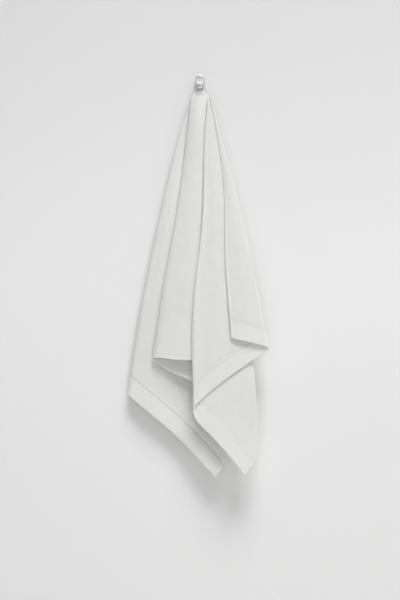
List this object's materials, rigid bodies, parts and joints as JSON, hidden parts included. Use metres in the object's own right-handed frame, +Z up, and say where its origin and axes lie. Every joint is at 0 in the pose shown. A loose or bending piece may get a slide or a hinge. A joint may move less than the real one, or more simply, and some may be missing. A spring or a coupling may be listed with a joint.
{
  "type": "bath towel on wall hook",
  "caption": "Plain terry bath towel hung by the sewn loop in the middle of one long side from a round chrome wall peg, falling in a fan of layered folds with its borders and corners showing.",
  "frame": {"origin": "centre of the hook base's back face, on the wall", "axes": "+X to the right seen from the room, +Y into the wall, +Z up"},
  "size_m": [0.3558, 0.0904, 1.0134],
  "materials": {
    "cotton_terry": "white cotton terry with flat-woven borders",
    "cotton_tape": "white woven cotton tape",
    "chrome": "polished"
  },
  "bodies": {
    "root": {"towel": "cotton_terry", "hanging_loop": "cotton_tape", "hook_base": "chrome", "hook_peg": "chrome"}
  },
  "joints": []
}
